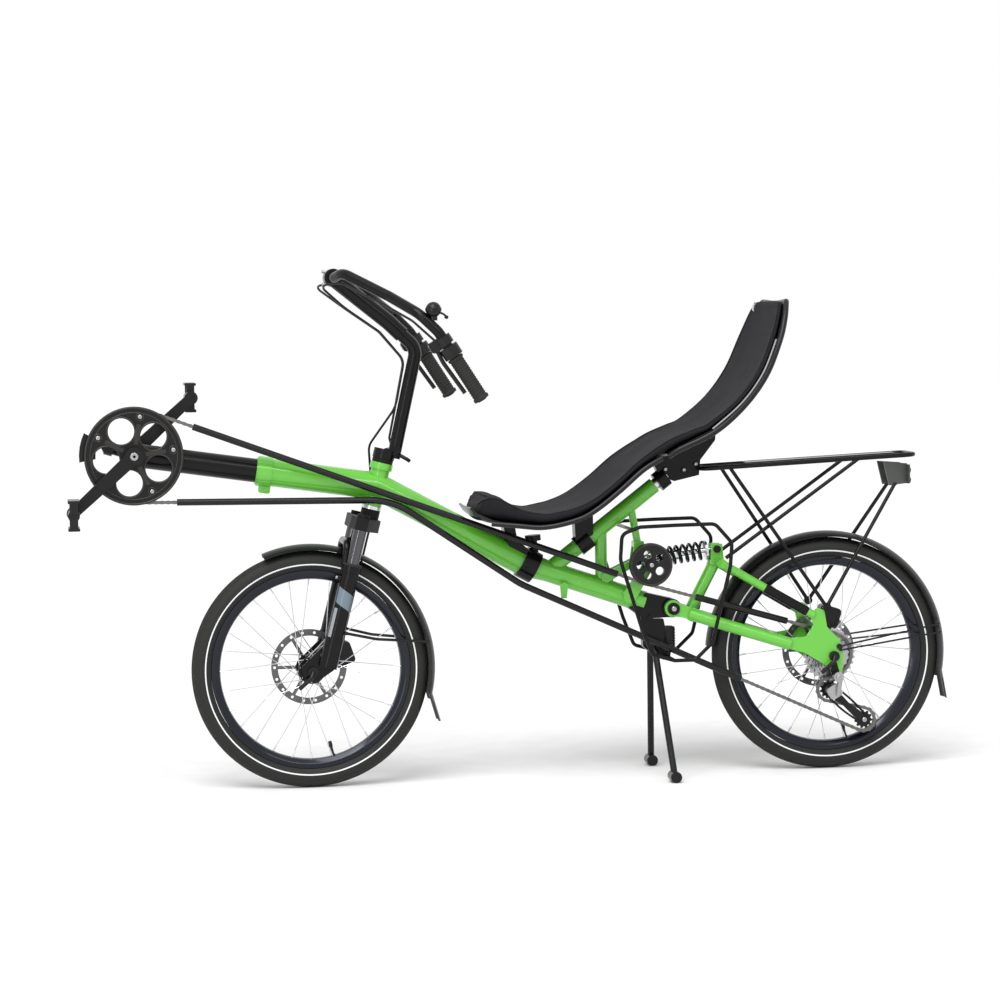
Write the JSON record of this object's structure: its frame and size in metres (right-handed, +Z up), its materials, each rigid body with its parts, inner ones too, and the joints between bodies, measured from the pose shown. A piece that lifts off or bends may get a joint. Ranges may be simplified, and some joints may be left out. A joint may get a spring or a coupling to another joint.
{
  "type": "recumbent bicycle",
  "caption": "Short recumbent bicycle with small wheels, a curved moulded seat, tall bars, a long chain in guide tubes and rear suspension.",
  "frame": {"origin": "centre of the bounding box's lower face, on the floor midway between the ends", "axes": "+X forward, +Y to the rider's left, +Z up"},
  "size_m": [1.8846, 0.518, 1.0886],
  "materials": {
    "frame_green": "gloss",
    "black_paint": "satin",
    "silver": "satin",
    "steel": "satin",
    "dark_alloy": "satin",
    "rubber": "matt",
    "tyre": "matt",
    "black_plastic": "satin",
    "seat_fabric": "matt",
    "chain_steel": "oiled"
  },
  "bodies": {
    "frame": {"back_cushion": "seat_fabric", "boom": "black_paint", "chain": "chain_steel", "chain_tubes": "black_plastic", "front_derailleur": "dark_alloy", "idler_axle": "steel", "main_frame": "frame_green", "pannier_hoops": "black_paint", "pivot_block": "black_paint", "pivot_pin": "steel", "rear_axle": "silver", "rear_caliper": "dark_alloy", "rear_derailleur": "dark_alloy", "rear_mudguard": "black_plastic", "rear_rack": "black_paint", "seat_back_shell": "black_plastic", "seat_base_shell": "black_plastic", "seat_cushion": "seat_fabric", "seat_front_mount": "black_paint", "seat_mid_mount": "black_paint", "seat_rear_mount": "black_paint", "seat_slider": "silver", "shock_damper": "silver", "shock_pins": "steel", "shock_spring": "black_paint", "stand_bracket": "black_paint", "swingarm": "frame_green"},
    "steering": {"fork_crown": "black_paint", "fork_sliders": "black_paint", "front_axle": "silver", "front_mudguard": "black_plastic", "riser": "black_paint", "handlebar": "black_paint", "grips": "rubber", "bar_controls": "black_plastic", "front_caliper": "dark_alloy", "bar_cables": "black_plastic"},
    "front_wheel": {"front_tyre": "tyre", "front_wheel": "dark_alloy", "front_rotor": "steel"},
    "rear_wheel": {"rear_tyre": "tyre", "rear_wheel": "dark_alloy", "rear_rotor": "steel", "cassette": "steel"},
    "crank": {"chainring": "dark_alloy", "cranks": "dark_alloy", "left_pedal_axle": "steel", "right_pedal_axle": "steel"},
    "left_pedal": {"left_pedal": "black_plastic"},
    "right_pedal": {"right_pedal": "black_plastic"},
    "stand": {"stand_legs": "dark_alloy"},
    "idler": {"idler_wheel": "black_plastic"}
  },
  "joints": [
    {"name": "steering", "type": "hinge", "parent": "frame", "child": "steering", "pos_m": [0.3125, 0, 0.5836], "axis": [-0.2504, 0, 0.9681], "range_deg": [-38, 38]},
    {"name": "front_wheel_spin", "type": "hinge", "parent": "steering", "child": "front_wheel", "pos_m": [0.446, 0, 0.25], "axis": [0, 1, 0], "continuous": true},
    {"name": "rear_wheel_spin", "type": "hinge", "parent": "frame", "child": "rear_wheel", "pos_m": [-0.667, 0, 0.25], "axis": [0, 1, 0], "continuous": true},
    {"name": "crank_spin", "type": "hinge", "parent": "frame", "child": "crank", "pos_m": [0.807, 0, 0.708], "axis": [0, 1, 0], "continuous": true},
    {"name": "left_pedal_spin", "type": "hinge", "parent": "crank", "child": "left_pedal", "pos_m": [0.93294, 0.14, 0.59381], "axis": [0, 1, 0], "continuous": true},
    {"name": "right_pedal_spin", "type": "hinge", "parent": "crank", "child": "right_pedal", "pos_m": [0.68106, -0.14, 0.82219], "axis": [0, 1, 0], "continuous": true},
    {"name": "idler_spin", "type": "hinge", "parent": "frame", "child": "idler", "pos_m": [-0.277, 0.045, 0.4535], "axis": [0, 1, 0], "continuous": true},
    {"name": "stand_fold", "type": "hinge", "parent": "frame", "child": "stand", "pos_m": [-0.287, 0, 0.28], "axis": [0, 1, 0], "range_deg": [-75, 0]}
  ]
}
